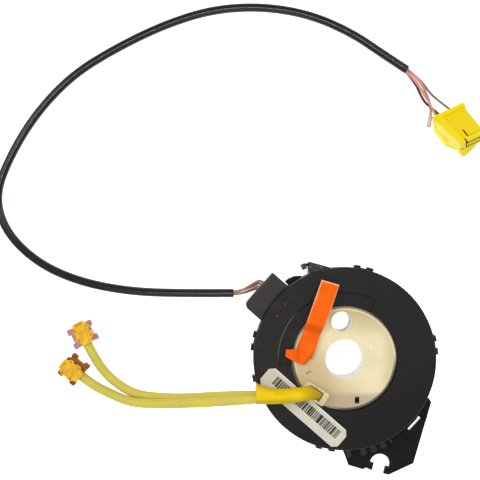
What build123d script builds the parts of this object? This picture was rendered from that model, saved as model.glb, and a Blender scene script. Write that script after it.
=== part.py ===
from build123d import *
import os
from math import atan2, cos, degrees, pi, radians, sin, tan

os.makedirs("parts", exist_ok=True)

# Steering clock spring, lying on its back with both leads laid out. Millimetres, +Z up.
# The origin is on the rotor's axis, in the plane of the housing's back face.

# ---- Clearances
fit_gap = 0.2            # between pieces that are fixed to each other
run_gap = 0.4            # between the rotor and the housing
tab_gap = 0.3            # round the loose lock tab and the sliding covers

# ---- Housing
case_r = 55.0            # outside of the cover's skirt
case_h = 20.0            # back face to the cover's face
cover_t = 2.0            # cover plate
skirt_t = 1.8            # cover skirt
case_edge = 1.0          # rounding of the cover's rim
base_wall_t = 1.6        # upright wall of the base
floor_t = 2.0            # outer floor of the base
belt_h = 5.8             # thick belt round the foot of the base
web_t = 1.8              # raised inner floor that holds the rotor

# ---- Rotor
rotor_r = 30.6           # visible disc
rotor_proud = 0.6        # disc stands above the cover
disc_t = 2.0
edge_gap = 0.9           # ring gap between the disc and the cover's hole
shaft_bore_r = 11.5      # steering shaft
shaft_tube_t = 1.6
barrel_r = 29.8          # drum that the ribbon winds on
barrel_t = 1.6
flange_r = 33.2          # thrust flange under the cover
flange_t = 1.2
retainer_r = 35.0        # ring that holds the rotor from the back
retainer_t = 1.4
retainer_up = 0.4        # retainer is clear of the mounting plane

# ---- Heights worked out from the above
cover_low = case_h - cover_t
disc_top = case_h + rotor_proud
disc_low = disc_top - disc_t
hole_r = rotor_r + edge_gap
base_wall_r = case_r - skirt_t - fit_gap
chamber_r = base_wall_r - base_wall_t
skirt_low = belt_h + fit_gap
web_low = retainer_up + retainer_t + run_gap
web_top = web_low + web_t
pocket_r = retainer_r + 0.6
web_r = pocket_r + 1.6


def ray(r, angle):
    """The point at radius r and an angle in degrees."""
    return (r * cos(radians(angle)), r * sin(radians(angle)))


def sector(inner_r, outer_r, start, end):
    """A face: the piece of a ring between two angles in degrees."""
    with BuildSketch() as face:
        with BuildLine():
            CenterArc((0, 0), outer_r, start, end - start)
            CenterArc((0, 0), inner_r, start, end - start)
            Line(ray(inner_r, start), ray(outer_r, start))
            Line(ray(inner_r, end), ray(outer_r, end))
        make_face()
    return face.sketch


def corner_radii(points, share=0.45):
    """The tangent arc at each inner point of a route: as large as its two runs allow."""
    at = [Vector(*p) for p in points]
    radii = []
    for before, here, after in zip(at, at[1:], at[2:]):
        turn = (here - before).get_angle(after - here)
        run = min((here - before).length, (after - here).length)
        radii.append(share * run / tan(radians(turn / 2)))
    return radii


def tube(points, diameter, name):
    """A round cord: straight runs joined by tangent arcs."""
    radii = corner_radii(points)
    with BuildPart() as cord:
        with BuildLine() as route:
            FilletPolyline(*points, radius=radii)
        with BuildSketch(Plane(origin=route.line @ 0, z_dir=route.line % 0)):
            Circle(diameter / 2)
        sweep(path=route.line)
    length = route.wires()[0].length
    share = cord.part.volume / (pi * diameter**2 / 4 * length)
    print(f"{name}: length {length:.1f}, volume share {share:.4f}, "
          f"smallest radius {min(radii):.1f} = {min(radii) / diameter:.1f} diameters")
    print("   radii", [round(r, 1) for r in radii])
    return cord.part


def finish(piece, name):
    """Label a piece and write it."""
    piece.label = name
    export_step(piece, f"parts/{name}.step")


# ---- Latches between cover and base
latch_angles = (8.2, 77.6, 169.3, 197.0, 258.2, 318.0)
latch_w = 8.0            # hook tooth
latch_low = 8.6          # underside of the window
latch_h = 3.8
latch_rib_w = 3.6        # ribs on each side of a window
latch_rib_proud = 1.8
latch_rib_spread = 8.1   # degrees between the two ribs
latch_rib_low = 5.0 + 1.5
latch_rib_top = 15.5

# ---- Sunk sector of the cover round the rotor
recess_r = 39.8
recess_depth = 1.6
recess_start = 62.0
recess_end = 186.0
recess_wall = 1.6
recess_bevel = 0.4
collar_t = 1.6           # bearing collar under the cover's hole
collar_low = cover_low - recess_depth

# ---- Lead block on the rim
block_angle = 138.5      # its outward direction
block_out = 11.5         # how far it stands out from the rim
block_reach = case_r + block_out
block_low_side = -10.1   # across, from the outward line
block_high_side = 16.3
block_h = 17.0
block_wall = 1.6
block_shelf_t = 2.0
block_round = (3.0, 1.0) # its two outer corners
block_edge = 0.5         # bevel of its top
block_bite = 6.0         # how far its raw form goes under the cover
block_plane = Plane(origin=(0, 0, 0), x_dir=(*ray(1, block_angle), 0), z_dir=(0, 0, 1))

# ---- Ribbon and its way out of the chamber
ribbon_w = 10.0
ribbon_t = 0.4
ribbon_low = web_top + 0.4
ribbon_half_turns = 17
neck_w = 2.4             # tail of the stator carrier through the wall
neck_slot = neck_w + 2 * fit_gap

# ---- Ear on the upper rim, as (reach beyond the rim, angle)
ear_outline = ((-0.6, 113.3), (7.0, 110.0), (3.3, 104.2), (-0.6, 96.4))
ear_top = 15.0
ear_low = 1.0
ear_post = (5.3, 113.6)
ear_post_size = (3.2, 2.8)
ear_link = (1.8, 3.0)    # width and height of the bar between ear and post

# ---- Shoulder on the rim between the ear and the lead block
shoulder_outline = ((-1.0, 127.4), (3.1, 127.6), (3.2, 124.9), (2.5, 121.1), (0.9, 117.7), (-1.0, 116.0))
shoulder_h = 9.0

# ---- Bracket, as (reach beyond the rim, angle)
bracket_t = 3.0
bracket_outline = ((-1.0, -92.0), (4.2, -89.2), (12.0, -86.9), (15.7, -79.7), (15.0, -78.2), (17.3, -75.7),
                   (21.4, -70.7), (23.2, -68.8), (23.9, -56.5), (6.4, -27.2), (4.4, -26.2), (-1.0, -24.0))
notch_reach = 15.0       # centre of the locating notch beyond the rim
notch_angle = -70.9
notch_r = 6.1
notch_mouth = 7.4
notch_lip = 0.5          # from the centre to the lips beside the mouth
notch_turn = -104.7      # the way the mouth opens
slot_reach = 5.5         # narrow L-shaped slot beside the rim
slot_angle = -43.2
slot_long = 10.4
slot_w = 1.7
slot_leg = 3.6
gusset_angles = (-86.6, -77.7, -71.7, -65.4)
gusset_w = 3.2
gusset_reach = 4.6
gusset_h = 9.0
bracket_rib_h = 3.0
bracket_rib_w = 1.4

# =====================================================================
# base_housing: black back half with wall, ear and bracket
# =====================================================================
bearing_r = barrel_r + run_gap
notch_centre = ray(case_r + notch_reach, notch_angle)

with BuildPart() as base_housing:
    with BuildSketch(Plane.XZ):
        with BuildLine():
            Polyline((bearing_r, web_low), (pocket_r, web_low), (pocket_r, 0), (case_r - 0.6, 0),
                     (case_r, 0.6), (case_r, belt_h), (base_wall_r, belt_h),
                     (base_wall_r, cover_low - fit_gap), (chamber_r, cover_low - fit_gap),
                     (chamber_r, floor_t), (web_r, floor_t), (web_r, web_top),
                     (bearing_r, web_top), close=True)
        make_face()
    revolve(axis=Axis.Z)

    # bracket plate
    with BuildSketch():
        with BuildLine():
            Polyline(*[ray(case_r + reach, angle) for reach, angle in bracket_outline], close=True)
        make_face()
        with BuildLine():
            CenterArc((0, 0), chamber_r + 0.5, 0, 360)
        make_face(mode=Mode.SUBTRACT)
    extrude(amount=bracket_t)
    # gussets and ribs that stand on it
    for angle in gusset_angles:
        with BuildSketch(Plane(origin=(0, 0, 0), x_dir=(*ray(1, angle), 0),
                               z_dir=(*ray(1, angle - 90), 0)).offset(-gusset_w / 2)):
            with BuildLine():
                Polyline((case_r - 0.5, 0), (case_r - 0.5, belt_h), (case_r + fit_gap, belt_h),
                         (case_r + fit_gap, gusset_h), (case_r + 0.6, gusset_h),
                         (case_r + gusset_reach, bracket_t), (case_r + gusset_reach, 0), close=True)
            make_face()
        extrude(amount=gusset_w)
    for angle in (-60.5, -50.0, -36.0):
        with BuildSketch(Plane.XY.offset(bracket_t)):
            with Locations(Location((0, 0, 0), angle)):
                with Locations((case_r + 0.6 + (notch_reach - 7) / 2, 0)):
                    Rectangle(notch_reach - 7, bracket_rib_w)
        extrude(amount=bracket_rib_h)
    # locating notch, open at the plate's edge
    with BuildSketch():
        with Locations(notch_centre):
            Circle(notch_r)
        with Locations(Location((*notch_centre, 0), notch_turn)):
            with Locations((notch_lip + notch_r, 0)):
                Rectangle(notch_r * 2, notch_r * 2.2, mode=Mode.SUBTRACT)
            with Locations((notch_r * 1.5, 0)):
                Rectangle(notch_r * 3, notch_mouth)
    extrude(amount=case_h, mode=Mode.SUBTRACT)
    # narrow L-shaped slot
    with BuildSketch():
        with Locations(Location((0, 0, 0), slot_angle)):
            with Locations((case_r + slot_reach, 0)):
                Rectangle(slot_w, slot_long)
            with Locations((case_r + slot_reach - slot_leg / 2, (slot_long - slot_w) / 2)):
                Rectangle(slot_leg, slot_w)
    extrude(amount=case_h, mode=Mode.SUBTRACT)

    # ear: an upright block, and a post on a bar beside it
    with BuildSketch(Plane.XY.offset(ear_low)):
        with BuildLine():
            Polyline(*[ray(case_r + reach, angle) for reach, angle in ear_outline], close=True)
        make_face()
    extrude(amount=ear_top - ear_low)
    post_at = ray(case_r + ear_post[0], ear_post[1])
    with BuildSketch(Plane.XY.offset(ear_low)):
        with Locations(Location((*post_at, 0), ear_post[1])):
            Rectangle(*ear_post_size)
    extrude(amount=ear_top - ear_low)
    with BuildSketch(Plane.XY.offset(ear_low)):
        add(sector(case_r + ear_post[0] - ear_link[0] / 2, case_r + ear_post[0] + ear_link[0] / 2,
                   ear_outline[1][1] - 1.5, ear_post[1]))
    extrude(amount=ear_link[1])
    with BuildSketch():
        with BuildLine():
            Polyline(*[ray(case_r + reach, angle) for reach, angle in shoulder_outline], close=True)
        make_face()
    extrude(amount=shoulder_h)

    # shelf that the lead block stands on, and the slot for its neck
    with BuildSketch(block_plane) as shelf:
        with Locations(((case_r + block_reach) / 2 - 1.5, (block_low_side + block_high_side) / 2)):
            Rectangle(block_reach - case_r + 3.0, block_high_side - block_low_side)
        fillet(shelf.vertices().sort_by(Axis.Y)[-2:].sort_by(Axis.X)[-1], block_round[0])
        fillet(shelf.vertices().sort_by(Axis.Y)[:2].sort_by(Axis.X)[-1], block_round[1])
    extrude(amount=block_shelf_t)
    # keep the skirt's space free above the belt
    with BuildSketch(Plane.XY.offset(belt_h)):
        Circle(case_r + fit_gap)
        Circle(base_wall_r, mode=Mode.SUBTRACT)
    extrude(amount=case_h, mode=Mode.SUBTRACT)
    # hook teeth of the latches
    with BuildSketch(Plane.XY.offset(latch_low + fit_gap)):
        for angle in latch_angles:
            half = degrees(latch_w / 2 / base_wall_r)
            add(sector(base_wall_r - 0.5, case_r - fit_gap, angle - half, angle + half))
    extrude(amount=latch_h - 2 * fit_gap)
    # neck slot through the wall
    with BuildSketch(block_plane.offset(ribbon_low - fit_gap)):
        with Locations(((chamber_r + case_r) / 2, 0)):
            Rectangle(case_r - chamber_r + 2, neck_slot)
    extrude(amount=case_h, mode=Mode.SUBTRACT)

finish(base_housing.part, "base_housing")

# =====================================================================
# top_cover: annular cover with skirt, collar and the sunk sector
# =====================================================================
with BuildPart() as top_cover:
    with BuildSketch(Plane.XZ):
        with BuildLine():
            Polyline((hole_r, collar_low), (hole_r, case_h), (case_r - case_edge, case_h))
            CenterArc((case_r - case_edge, case_h - case_edge), case_edge, 0, 90)
            Polyline((case_r, case_h - case_edge), (case_r, skirt_low), (case_r - skirt_t, skirt_low),
                     (case_r - skirt_t, cover_low), (hole_r + collar_t, cover_low),
                     (hole_r + collar_t, collar_low), (hole_r, collar_low))
        make_face()
    revolve(axis=Axis.Z)
    # sunk sector: the floor drops and a wall joins it to the plate
    with BuildSketch(Plane.XY.offset(collar_low)):
        add(sector(hole_r, recess_r + recess_wall, recess_start - 2.3, recess_end + 2.3))
    extrude(amount=cover_t + recess_depth)
    with BuildSketch(Plane.XY.offset(case_h - recess_depth)):
        add(sector(hole_r - 1, recess_r, recess_start, recess_end))
    extrude(amount=recess_depth + 1, mode=Mode.SUBTRACT)
    arcs = top_cover.edges().filter_by(GeomType.CIRCLE)
    chamfer([e for e in arcs if abs(e.radius - recess_r) < 0.01 and abs(e.position_at(0.5).Z - case_h) < 0.01],
            recess_bevel)
    # guide ribs beside each latch, and a thin tongue between them
    with BuildSketch(Plane.XY.offset(latch_rib_low)):
        for angle in latch_angles:
            for side in (-1, 1):
                middle = angle + side * latch_rib_spread / 2
                half = degrees(latch_rib_w / 2 / case_r)
                add(sector(case_r - 0.8, case_r + latch_rib_proud, middle - half, middle + half))
    extrude(amount=latch_rib_top - latch_rib_low)
    with BuildSketch(Plane.XY.offset(skirt_low)):
        for angle in latch_angles:
            half = latch_rib_spread / 2
            add(sector(case_r - 0.8, case_r + 0.6, angle - half, angle + half))
    extrude(amount=latch_rib_top - skirt_low)
    with BuildSketch(Plane.XY.offset(latch_low)):
        for angle in latch_angles:
            half = degrees((latch_w / 2 + fit_gap) / base_wall_r)
            add(sector(base_wall_r - 1, case_r + 1.2, angle - half, angle + half))
    extrude(amount=latch_h, mode=Mode.SUBTRACT)
    # notch over the stator carrier's neck
    with BuildSketch(block_plane.offset(skirt_low - 1)):
        with Locations((case_r - skirt_t / 2, 0)):
            Rectangle(skirt_t * 3, neck_slot + 2)
    extrude(amount=ribbon_low + ribbon_w + 1.2 - skirt_low + 1, mode=Mode.SUBTRACT)

finish(top_cover.part, "top_cover")

# =====================================================================
# lead_block: cap over the stator's terminals
# =====================================================================
block_mid = (block_low_side + block_high_side) / 2
block_width = block_high_side - block_low_side
block_inner = base_wall_r - block_bite
wire_d = 1.6
wire_exit_z = 8.0
wire_exit_side = 0.9
wire_pitch = wire_d + 0.15
wire_row = 1.9           # between the upper and the lower pair
block_window = (4 * wire_pitch + 0.6, wire_row + wire_d + 0.6)
block_floor = block_shelf_t + fit_gap

with BuildPart() as lead_block:
    with BuildSketch(block_plane.offset(block_floor)):
        with Locations(((block_inner + block_reach) / 2, block_mid)):
            Rectangle(block_reach - block_inner, block_width)
    extrude(amount=block_h - block_floor)
    upright = lead_block.edges().filter_by(Axis.Z)
    outward = Vector(*ray(1, block_angle), 0)
    across = Vector(*ray(1, block_angle + 90), 0)
    outer = sorted(upright, key=lambda e: e.center().dot(outward))[-2:]
    rounder = max(outer, key=lambda e: e.center().dot(across))
    fillet(rounder, block_round[0])
    fillet([e for e in outer if e is not rounder], block_round[1])
    chamfer(lead_block.faces().sort_by(Axis.Z)[-1].edges(), block_edge)
    # cavity, open below
    with BuildSketch(block_plane.offset(block_floor)):
        with Locations(((block_inner + block_reach) / 2, block_mid)):
            Rectangle(block_reach - block_inner - 2 * block_wall, block_width - 2 * block_wall)
    extrude(amount=block_h - block_floor - block_wall, mode=Mode.SUBTRACT)
    # it hugs the rim
    with BuildSketch():
        Circle(case_r + fit_gap)
    extrude(amount=case_h, mode=Mode.SUBTRACT)
    # window for the wires
    with BuildSketch(block_plane.offset(wire_exit_z - block_window[1] / 2)):
        with Locations((block_reach, wire_exit_side)):
            Rectangle(4 * block_wall, block_window[0])
    extrude(amount=block_window[1], mode=Mode.SUBTRACT)

finish(lead_block.part, "lead_block")

# =====================================================================
# stator_carrier and stator_terminals: where the ribbon meets the column lead
# =====================================================================
carrier_face = block_reach - block_wall - 0.9
carrier_rim_gap = 1.4
carrier_depth = carrier_face - case_r - carrier_rim_gap
carrier_width = 10.4
carrier_h = 11.0
neck_start = chamber_r - 0.6
terminal_w = 1.2
terminal_t = 0.6

with BuildPart() as stator_carrier:
    with BuildSketch(block_plane.offset(block_floor)):
        with Locations((carrier_face - carrier_depth / 2, wire_exit_side)):
            Rectangle(carrier_depth, carrier_width)
    extrude(amount=carrier_h - block_floor)
    # neck into the chamber
    with BuildSketch(block_plane.offset(ribbon_low)):
        with Locations(((neck_start + carrier_face - carrier_depth / 2) / 2, 0)):
            Rectangle(carrier_face - carrier_depth / 2 - neck_start, neck_w)
    extrude(amount=carrier_h - ribbon_low - 2.4)
    # grooves that the terminals lie in
    with BuildSketch(block_plane.offset(carrier_h - 1.2)):
        with Locations((carrier_face - carrier_depth / 2, wire_exit_side)):
            with GridLocations(0, wire_pitch + 0.5, 1, 4):
                Rectangle(carrier_depth, terminal_w + 0.1)
    extrude(amount=2, mode=Mode.SUBTRACT)
finish(stator_carrier.part, "stator_carrier")

with BuildPart() as stator_terminals:
    with BuildSketch(block_plane.offset(carrier_h - 1.2)):
        with Locations((carrier_face - carrier_depth / 2, wire_exit_side)):
            with GridLocations(0, wire_pitch + 0.5, 1, 4):
                Rectangle(carrier_depth - 0.6, terminal_w)
    extrude(amount=terminal_t)
finish(stator_terminals.part, "stator_terminals")

# =====================================================================
# rotor_hub: disc, shaft tube, ribbon drum and thrust flange in one moulding
# =====================================================================
pin_hole_at = (-2.1, 22.4)
pin_hole_r = 6.0
pin_tube_t = 1.2
pin_rim_h = 0.6
pin_rim_t = 0.75
pin_tube_low = retainer_up + retainer_t
slot_at = (7.2, -24.6)
slot_size = (2.7, 4.1)
chord_y = -20.4          # the disc is a little lower beyond this line
chord_step = 0.3
rib_t = 1.4
rib_low = 9.0
rib_angles = (5.0, 50.0, 145.0, 188.0, 275.0, 320.0)
retainer_seat = retainer_up + retainer_t
barrel_in = barrel_r - barrel_t
tube_r = shaft_bore_r + shaft_tube_t
flange_low = collar_low - run_gap - flange_t
clip_count = 4
clip_arc = 12.0
clip_low = web_top + 0.6
clip_h = 2.0

# lock tab's seat in the disc
tab_pin_at = (-21.5, 3.0)
tab_pin_size = (4.0, 5.0)
tab_pin_l = 2.0

with BuildPart() as rotor_hub:
    with BuildSketch(Plane.XZ):
        with BuildLine():
            Polyline((shaft_bore_r, 0), (tube_r, 0), (tube_r, disc_low), (barrel_in, disc_low),
                     (barrel_in, retainer_seat), (barrel_r, retainer_seat), (barrel_r, flange_low),
                     (flange_r, flange_low), (flange_r, flange_low + flange_t),
                     (barrel_r, flange_low + flange_t), (barrel_r, disc_low), (rotor_r, disc_low),
                     (rotor_r, disc_top - 0.6), (rotor_r - 0.6, disc_top), (shaft_bore_r, disc_top),
                     close=True)
        make_face()
    revolve(axis=Axis.Z)
    # inner ribs between the shaft tube and the drum
    with BuildSketch(Plane.XY.offset(rib_low)):
        for angle in rib_angles:
            with Locations(Location((0, 0, 0), angle)):
                with Locations(((tube_r + barrel_in) / 2, 0)):
                    Rectangle(barrel_in - tube_r + 1.0, rib_t)
    extrude(amount=disc_low - rib_low + 0.5)
    # tube and raised rim of the smaller hole
    with BuildSketch(Plane.XY.offset(pin_tube_low)):
        with Locations(pin_hole_at):
            Circle(pin_hole_r + pin_tube_t)
    extrude(amount=disc_low - pin_tube_low + 0.5)
    with BuildSketch(Plane.XY.offset(disc_top - 0.5)):
        with Locations(pin_hole_at):
            Circle(pin_hole_r + pin_rim_t)
    extrude(amount=pin_rim_h + 0.5)
    with BuildSketch():
        with Locations(pin_hole_at):
            Circle(pin_hole_r)
    extrude(amount=case_h * 2, mode=Mode.SUBTRACT)
    # lower field of the disc beyond the chord
    with BuildSketch(Plane.XY.offset(disc_top - chord_step)):
        Circle(rotor_r + 1)
        with Locations((0, chord_y + rotor_r)):
            Rectangle(4 * rotor_r, 2 * rotor_r, mode=Mode.SUBTRACT)
    extrude(amount=1, mode=Mode.SUBTRACT)
    # small slot, and the seat of the lock tab's pin
    with BuildSketch(Plane.XY.offset(disc_low)):
        with Locations(slot_at):
            Rectangle(*slot_size)
        with Locations(tab_pin_at):
            Rectangle(tab_pin_size[0] + 2 * tab_gap, tab_pin_size[1] + 2 * tab_gap)
    extrude(amount=disc_t + 1, mode=Mode.SUBTRACT)
    # windows for the retainer's clips
    with BuildSketch(Plane.XY.offset(clip_low)):
        for n in range(clip_count):
            middle = 45 + n * 360 / clip_count
            add(sector(barrel_in - 0.5, barrel_r + 0.5, middle - clip_arc / 2, middle + clip_arc / 2))
    extrude(amount=clip_h, mode=Mode.SUBTRACT)

finish(rotor_hub.part, "rotor_hub")

# =====================================================================
# rotor_retainer: back ring clipped into the drum
# =====================================================================
spigot_r = barrel_in - fit_gap
spigot_t = 1.6
with BuildPart() as rotor_retainer:
    with BuildSketch(Plane.XZ):
        with BuildLine():
            Polyline((spigot_r - spigot_t, retainer_up), (retainer_r, retainer_up),
                     (retainer_r, retainer_seat), (spigot_r, retainer_seat),
                     (spigot_r, clip_low + clip_h), (spigot_r - spigot_t, clip_low + clip_h), close=True)
        make_face()
    revolve(axis=Axis.Z)
    with BuildSketch(Plane.XY.offset(clip_low + fit_gap)):
        for n in range(clip_count):
            middle = 45 + n * 360 / clip_count
            add(sector(spigot_r - 0.5, spigot_r + 1.1, middle - clip_arc / 2 + 1, middle + clip_arc / 2 - 1))
    extrude(amount=clip_h - 2 * fit_gap, taper=0)
    # slots that make each clip springy
    with BuildSketch(Plane.XY.offset(retainer_seat)):
        for n in range(clip_count):
            for side in (-1, 1):
                middle = 45 + n * 360 / clip_count + side * (clip_arc / 2 + 2)
                add(sector(spigot_r - spigot_t - 1, spigot_r + 0.5, middle - 1, middle + 1))
    extrude(amount=case_h, mode=Mode.SUBTRACT)
    # room for the tube of the smaller hole
    with BuildSketch():
        with Locations(pin_hole_at):
            Circle(pin_hole_r + pin_tube_t + fit_gap)
    extrude(amount=case_h, mode=Mode.SUBTRACT)
finish(rotor_retainer.part, "rotor_retainer")

# =====================================================================
# rotor_carrier and rotor_terminals: under the exit boss, inside the drum
# =====================================================================
boss_centre = (-18.4, -20.0)
boss_angle = degrees(atan2(boss_centre[1], boss_centre[0]))
rotor_carrier_plane = Plane(origin=(0, 0, 0), x_dir=(*ray(1, boss_angle), 0), z_dir=(0, 0, 1))
rotor_carrier_size = (8.0, 11.0)
rotor_carrier_low = 5.0
rotor_carrier_mid = (tube_r + barrel_in) / 2

with BuildPart() as rotor_carrier:
    with BuildSketch(rotor_carrier_plane.offset(rotor_carrier_low)):
        with Locations((rotor_carrier_mid, 0)):
            Rectangle(*rotor_carrier_size)
    extrude(amount=disc_low - rotor_carrier_low)
    with BuildSketch(rotor_carrier_plane.offset(rotor_carrier_low)):
        with Locations((rotor_carrier_mid, 0)):
            with GridLocations(0, 2.4, 1, 4):
                Rectangle(rotor_carrier_size[0] + 1, terminal_w + 0.1)
    extrude(amount=1.2, mode=Mode.SUBTRACT)
finish(rotor_carrier.part, "rotor_carrier")

with BuildPart() as rotor_terminals:
    with BuildSketch(rotor_carrier_plane.offset(rotor_carrier_low + 1.2 - terminal_t)):
        with Locations((rotor_carrier_mid, 0)):
            with GridLocations(0, 2.4, 1, 4):
                Rectangle(rotor_carrier_size[0] - 0.6, terminal_w)
    extrude(amount=terminal_t)
finish(rotor_terminals.part, "rotor_terminals")

# =====================================================================
# ribbon_cable: flat cable wound from half turns about two centres
# =====================================================================
ribbon_inner_r = barrel_r + 0.5
ribbon_outer_r = chamber_r - 1.2
ribbon_pitch = (ribbon_outer_r - ribbon_inner_r - ribbon_t) / (ribbon_half_turns / 2)
ribbon_plane = Plane(origin=(0, 0, 0), x_dir=(*ray(1, block_angle + 180), 0), z_dir=(0, 0, 1))

with BuildPart() as ribbon_cable:
    with BuildSketch(ribbon_plane.offset(ribbon_low)):
        with BuildLine():
            for n in range(ribbon_half_turns):
                middle = (0 if n % 2 == 0 else ribbon_pitch / 2, 0)
                r = ribbon_inner_r + n * ribbon_pitch / 2
                CenterArc(middle, r, 180 * (n % 2), 180)
                CenterArc(middle, r + ribbon_t, 180 * (n % 2), 180)
            Line((ribbon_inner_r, 0), (ribbon_inner_r + ribbon_t, 0))
            last = -(ribbon_inner_r + (ribbon_half_turns - 1) * ribbon_pitch / 2)
            Line((last, 0), (last - ribbon_t, 0))
        make_face()
    extrude(amount=ribbon_w)
finish(ribbon_cable.part, "ribbon_cable")

# slide_film: low-friction ring under the ribbon
film_t = 0.3
with BuildPart() as slide_film:
    with BuildSketch(Plane.XY.offset(floor_t)):
        Circle(chamber_r - 0.5)
        Circle(web_r + 0.5, mode=Mode.SUBTRACT)
    extrude(amount=film_t)
finish(slide_film.part, "slide_film")

# =====================================================================
# root_sleeve and exit_boss: where the wheel leads leave the rotor
# =====================================================================
lead_d = 5.8
sleeve_d = 8.8
sleeve_floor = 0.8       # floor of the boss under the sleeve
sleeve_z = 27.9
sleeve_route = ((-14.6, -19.2, disc_top - 2.0), (-20.8, -19.3, sleeve_z),
                (-29.0, -20.6, sleeve_z + 0.2), (-38.0, -21.2, sleeve_z))
# the flared end holds both leads, one above the other: x, y, width, height, rounding
sleeve_flare = ((-37.6, -21.2, sleeve_d + 0.4, sleeve_d + 0.4, sleeve_d / 2), (-47.0, -20.9, 9.6, 12.6, 4.2),
                (-53.4, -19.6, 12.1, 14.2, 4.0))
lead_start_y = -21.6
boss_size = (16.4, 8.6)
boss_turn = -33.0
boss_top = disc_top + 4.8
boss_plane = Plane(origin=(*boss_centre, 0), x_dir=(*ray(1, boss_turn), 0), z_dir=(0, 0, 1))
mouth = (-4.3, 4.7, -2.9, 2.9)  # opening in the boss, along and across it
sleeve_gap = 0.15
mouth_gap = 0.55         # the sleeve's end is trimmed to stand clear of the opening's far sides


def sleeve_body(diameter, low, gap):
    """The round part of the sleeve, cut level at its foot and square at the opening's far sides."""
    with BuildPart() as rod:
        with BuildLine() as route:
            FilletPolyline(*sleeve_route, radius=corner_radii(sleeve_route))
        with BuildSketch(Plane(origin=route.line @ 0, z_dir=route.line % 0)):
            Circle(diameter / 2)
        sweep(path=route.line)
        split(bisect_by=Plane.XY.offset(low), keep=Keep.TOP)
        far_along = mouth[1] - gap
        far_across = mouth[3] - gap
        with BuildSketch(boss_plane):
            with Locations((far_along - 40, far_across - 40)):
                Rectangle(80, 80)
        extrude(amount=60, mode=Mode.INTERSECT)
    return rod.part


pink_start = (-49.5, lead_start_y + 0.4, sleeve_z - lead_d / 2 + 0.2)
brown_start = (-49.5, lead_start_y - 0.4, sleeve_z + lead_d / 2 + 0.3)
lead_floor = lead_d / 2
squib_lead_z = 7.8
pink_route = (pink_start, (-69.3, -21.7, 20.6), (-97.4, -25.7, 4.6), (-115.0, -25.2, lead_floor),
              (-126.2, -23.6, lead_floor), (-135.8, -18.8, 3.2), (-145.7, -10.5, 4.0),
              (-152.4, 0.6, squib_lead_z), (-156.5, 8.8, squib_lead_z))
brown_route = (brown_start, (-65.0, -23.4, 30.9), (-90.0, -26.8, 17.2), (-116.2, -28.6, 8.9),
               (-130.7, -27.8, 5.7), (-144.8, -21.8, 4.9), (-154.5, -15.9, squib_lead_z),
               (-160.2, -11.1, squib_lead_z))
wheel_lead_pink = tube(pink_route, lead_d, "wheel_lead_pink")
wheel_lead_brown = tube(brown_route, lead_d, "wheel_lead_brown")
finish(wheel_lead_pink, "wheel_lead_pink")
finish(wheel_lead_brown, "wheel_lead_brown")

with BuildPart() as root_sleeve:
    add(sleeve_body(sleeve_d, disc_top + sleeve_floor, mouth_gap))
    for at_x, at_y, wide, high, round_r in sleeve_flare:
        with BuildSketch(Plane(origin=(at_x, at_y, sleeve_z), x_dir=(0, 1, 0), z_dir=(-1, 0, 0))):
            RectangleRounded(wide, high, round_r)
    loft()
    add(wheel_lead_pink, mode=Mode.SUBTRACT)
    add(wheel_lead_brown, mode=Mode.SUBTRACT)
finish(root_sleeve.part, "root_sleeve")

with BuildPart() as exit_boss:
    with BuildSketch(boss_plane.offset(disc_top)):
        RectangleRounded(*boss_size, 1.2)
    extrude(amount=boss_top - disc_top)
    chamfer(exit_boss.faces().sort_by(Axis.Z)[-1].edges(), 0.5)
    # the opening that the sleeve goes down into
    with BuildSketch(boss_plane.offset(disc_top + sleeve_floor)):
        with Locations(((mouth[0] + mouth[1]) / 2, (mouth[2] + mouth[3]) / 2)):
            Rectangle(mouth[1] - mouth[0], mouth[3] - mouth[2])
    extrude(amount=boss_top, mode=Mode.SUBTRACT)
    add(sleeve_body(sleeve_d + 2 * sleeve_gap, disc_top + sleeve_floor, 0.0), mode=Mode.SUBTRACT)
finish(exit_boss.part, "exit_boss")

# =====================================================================
# lock_tab: cranked shipping lock across the rotor and the cover
# =====================================================================
tab_t = 1.8
tab_low = disc_top + 0.2
tab_step = 2.4           # the upper part is higher than the lower part
tab_lean = 76.0          # direction of its long axis
tab_crank = (12.4, 16.4) # where the step starts and ends along it
tab_span = (-30.0, 80.0) # the side profile is cut from this length
tab_foot_x = -27.5       # the foot slopes down from here
tab_foot_end = -37.0
tab_foot_drop = 1.1
tab_outline = ((-3.8, 44.6), (-8.6, 30.0), (-15.1, 14.5), (-18.9, 3.0), (-24.2, -3.4), (-30.2, -1.6),
               (-35.7, 1.6), (-35.5, 5.8), (-29.3, 6.0), (-25.1, 17.2), (-16.9, 40.2), (-14.2, 47.7))
tab_side = Plane(origin=(0, 0, 0), x_dir=(*ray(1, tab_lean), 0), z_dir=(*ray(1, tab_lean - 90), 0))

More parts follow.
